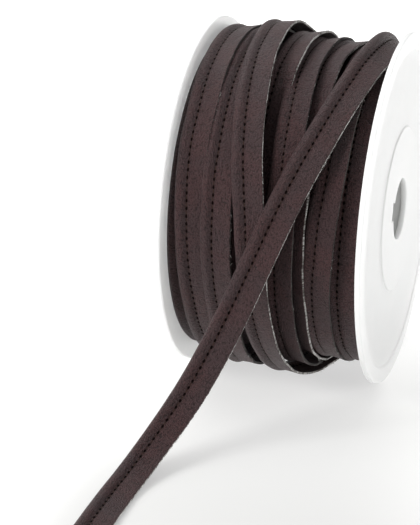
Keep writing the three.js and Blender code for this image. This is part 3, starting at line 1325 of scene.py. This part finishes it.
@dataclass
class MouldedReel:
    """The reel: two flanges with a rim band, a boss ring and a notched hole, and the hub tube."""

    finishes: Finishes
    rim_radius_mm: float = 61.5
    half_width_mm: float = 35.0
    flange_mm: float = 2.0
    raised_mm: float = 0.45
    band_mm: float = 5.6
    boss_radius_mm: float = 29.0
    hole_radius_mm: float = 10.75
    notch_width_mm: float = 6.0
    notch_depth_mm: float = 2.5
    notch_from_top: float = 76.0
    notch_corner: float = 0.0008
    bore_radius_mm: float = 11.6
    round_mm: float = 0.45
    flange_spokes: int = 288
    hub_spokes: int = 144

    def notch(self) -> tuple[float, float]:
        """Return the angle of the notch's middle and half the angle that it spans."""
        half = math.asin(self.notch_width_mm / 2 / self.hole_radius_mm)
        return math.radians(self.notch_from_top), half

    def angles(self) -> list[float]:
        """Work out the angles of the flange's spokes, two close together at each notch corner.

        Returns:
            The angles, rising.
        """
        middle, half = self.notch()
        spokes = [i * math.tau / self.flange_spokes for i in range(self.flange_spokes)]
        for corner in (middle - half, middle + half):
            spokes += [corner - self.notch_corner, corner + self.notch_corner]
        return sorted(spokes)

    def hole_radius(self, angle: float) -> float:
        """Work out the hole's radius, larger inside the notch.

        Args:
            angle: The angle from the top, towards the front.

        Returns:
            The radius, in millimetres.
        """
        middle, half = self.notch()
        off = abs((angle - middle + math.pi) % math.tau - math.pi)
        if off > half:
            return self.hole_radius_mm
        return (self.hole_radius_mm + self.notch_depth_mm) / math.cos(off)

    def profile(self) -> list[tuple[float, float, bool]]:
        """Work out the flange's outline.

        Returns:
            Its points (radius, place along X, whether it follows the hole).
        """
        inner = self.half_width_mm - self.flange_mm
        outer = self.half_width_mm
        plate = outer - self.raised_mm
        rim = self.rim_radius_mm
        curve = self.round_mm
        band = rim - self.band_mm
        boss = self.boss_radius_mm
        corner = [(math.sin(math.radians(angle)), math.cos(math.radians(angle))) for angle in (30, 60, 90)]
        inner_face = [(18.0, inner), (40.0, inner), (rim - 4.0, inner), (rim - curve, inner)]
        inner_edge = [(rim - curve + curve * sine, inner + curve * (1 - cosine)) for sine, cosine in corner]
        outer_edge = [(rim - curve + curve * cosine, outer - curve * (1 - sine)) for sine, cosine in corner]
        outer_face = [
            (band + 0.7, outer), (band + 0.12, outer - 0.03), (band - 0.1, plate + 0.06),
            (band - 0.5, plate), (48.0, plate), (boss + 1.2, plate), (boss + 0.35, plate + 0.02),
            (boss + 0.08, plate + 0.1), (boss - 0.12, outer - 0.05), (boss - 0.5, outer), (18.0, outer),
        ]
        free = inner_face + inner_edge + [(rim, outer - curve)] + outer_edge + outer_face
        start = [(0.0, inner + 0.15, True), (0.18, inner, True)]
        end = [(0.35, outer, True), (0.1, outer - 0.1, True), (0.0, outer - 0.35, True)]
        return start + [(radius, along, False) for radius, along in free] + end

    def turned(self, node: str, places: list, ring_size: int, flip: bool = False) -> None:
        """Make a plastic piece that runs round the axis, its flat faces flat in the shading.

        Args:
            node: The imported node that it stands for.
            places: Its points in millimetres, ring by ring.
            ring_size: How many points a ring has.
            flip: Whether its faces are turned over, as a mirrored piece needs.
        """
        data = MeshData()
        data.add_tube(places, np.zeros((len(places), 3)), [0] * ring_size, closed=True)
        if flip:
            data.faces = [tuple(reversed(corners)) for corners in data.faces]
        piece = data.make("moulded_" + node, [self.finishes.plastic])
        modifier = piece.modifiers.new("Weighted corners", "WEIGHTED_NORMAL")
        modifier.keep_sharp = True
        settle(piece, node)

    def flange(self, side: Side) -> None:
        """Build one flange.

        Args:
            side: The end of the reel that it closes.
        """
        profile = self.profile()
        places = []
        for angle in self.angles():
            hole = self.hole_radius(angle)
            for radius, along, at_hole in profile:
                reach = hole + radius if at_hole else radius
                places.append(round_axis(along * side.value, reach, angle))
        name = f"flange_{side.name.lower()}"
        self.turned(name, places, len(profile), flip=side is Side.RIGHT)

    def hub(self) -> None:
        """Build the hub tube, with a shallow parting line round the middle of its bore."""
        end = self.half_width_mm - self.flange_mm - 0.05
        bore = self.bore_radius_mm
        profile = [
            (bore + 0.3, -end), (self.boss_radius_mm, -end), (self.boss_radius_mm, end),
            (bore + 0.3, end), (bore, end - 0.3), (bore + 0.05, 0.5), (bore - 0.12, 0.3),
            (bore - 0.12, -0.3), (bore + 0.05, -0.5), (bore, -end + 0.3),
        ]
        spokes = [step * math.tau / self.hub_spokes for step in range(self.hub_spokes)]
        places = [round_axis(along, radius, angle) for angle in spokes for radius, along in profile]
        self.turned("hub", places, len(profile))

    def build(self) -> None:
        """Build the flanges and the hub."""
        for side in Side:
            self.flange(side)
        self.hub()


# The studio


@dataclass(frozen=True)
class SoftBox:
    """One large soft light, in metres and watts."""

    name: str
    place: tuple[float, float, float]
    aim: tuple[float, float, float]
    size: float
    power: float

    def build(self) -> None:
        """Add the light, turned towards its aim."""
        light = bpy.data.lights.new(self.name, "AREA")
        light.shape = "SQUARE"
        light.size = self.size
        light.energy = self.power
        lamp = bpy.data.objects.new(self.name, light)
        lamp.location = self.place
        lamp.rotation_euler = (Vector(self.aim) - Vector(self.place)).to_track_quat("-Z", "Y").to_euler()
        bpy.context.scene.collection.objects.link(lamp)


SOFT_BOXES = (
    SoftBox("Back", (-0.6, 0.55, 1.1), (0.0, 0.0, 0.03), size=1.6, power=13.0),
    SoftBox("Front left", (-0.85, -0.85, 0.7), (0.0, 0.0, 0.06), size=0.5, power=12.5),
    SoftBox("Right", (1.1, -0.1, 0.4), (0.0, 0.0, 0.04), size=0.3, power=2.5),
)


@dataclass
class Studio:
    """The camera, the pale floor and the soft lights."""

    azimuth: float = 17.08
    elevation: float = 23.28
    distance: float = 0.7151
    target: tuple[float, float, float] = (-0.03447, 0.0, 0.03178)
    lens: float = 134.53
    sensor: float = 36.0
    clip: tuple[float, float] = (0.01, 20.0)
    sky: Colour = (1.0, 1.0, 1.0, 1.0)
    sky_strength: float = 0.44
    floor_size: float = 6.0

    def camera(self) -> None:
        """Add the camera at the picture's viewing angle."""
        data = bpy.data.cameras.new("Camera")
        data.sensor_fit = "AUTO"
        data.sensor_width = self.sensor
        data.lens = self.lens
        data.clip_start, data.clip_end = self.clip
        camera = bpy.data.objects.new("Camera", data)
        azimuth = math.radians(self.azimuth)
        elevation = math.radians(self.elevation)
        level = math.cos(elevation)
        back = Vector((math.sin(azimuth) * level, -math.cos(azimuth) * level, math.sin(elevation)))
        camera.location = Vector(self.target) + back * self.distance
        camera.rotation_euler = back.to_track_quat("Z", "Y").to_euler()
        bpy.context.scene.collection.objects.link(camera)
        bpy.context.scene.camera = camera

    def floor(self, finishes: Finishes) -> None:
        """Add the floor.

        Args:
            finishes: The materials.
        """
        half = self.floor_size / 2
        corners = [(-half, -half, 0.0), (half, -half, 0.0), (half, half, 0.0), (-half, half, 0.0)]
        mesh = bpy.data.meshes.new("studio_floor")
        mesh.from_pydata(corners, [], [(0, 1, 2, 3)])
        mesh.materials.append(finishes.floor)
        floor = bpy.data.objects.new("studio_floor", mesh)
        bpy.context.scene.collection.objects.link(floor)

    def lights(self) -> None:
        """Add the pale sky and the soft boxes."""
        world = bpy.data.worlds.new("Pale studio")
        world.use_nodes = True
        background = world.node_tree.nodes["Background"]
        background.inputs["Color"].default_value = self.sky
        background.inputs["Strength"].default_value = self.sky_strength
        bpy.context.scene.world = world
        for box in SOFT_BOXES:
            box.build()

    def build(self, finishes: Finishes) -> None:
        """Add everything round the reel but its camera.

        Args:
            finishes: The materials.
        """
        self.floor(finishes)
        self.lights()
        bpy.context.scene.view_settings.view_transform = "Standard"
        bpy.context.scene.view_settings.look = "None"


def main() -> None:
    """Build the scene: camera and loose end first, then the winding, the reel and the studio."""
    logging.basicConfig(level=logging.INFO, format="%(name)s: %(message)s")
    studio = Studio()
    studio.camera()
    finishes = Finishes()
    LooseEnd(finishes).build()
    Winding(finishes).build()
    MouldedReel(finishes).build()
    studio.build(finishes)


if __name__ == "__main__":
    main()
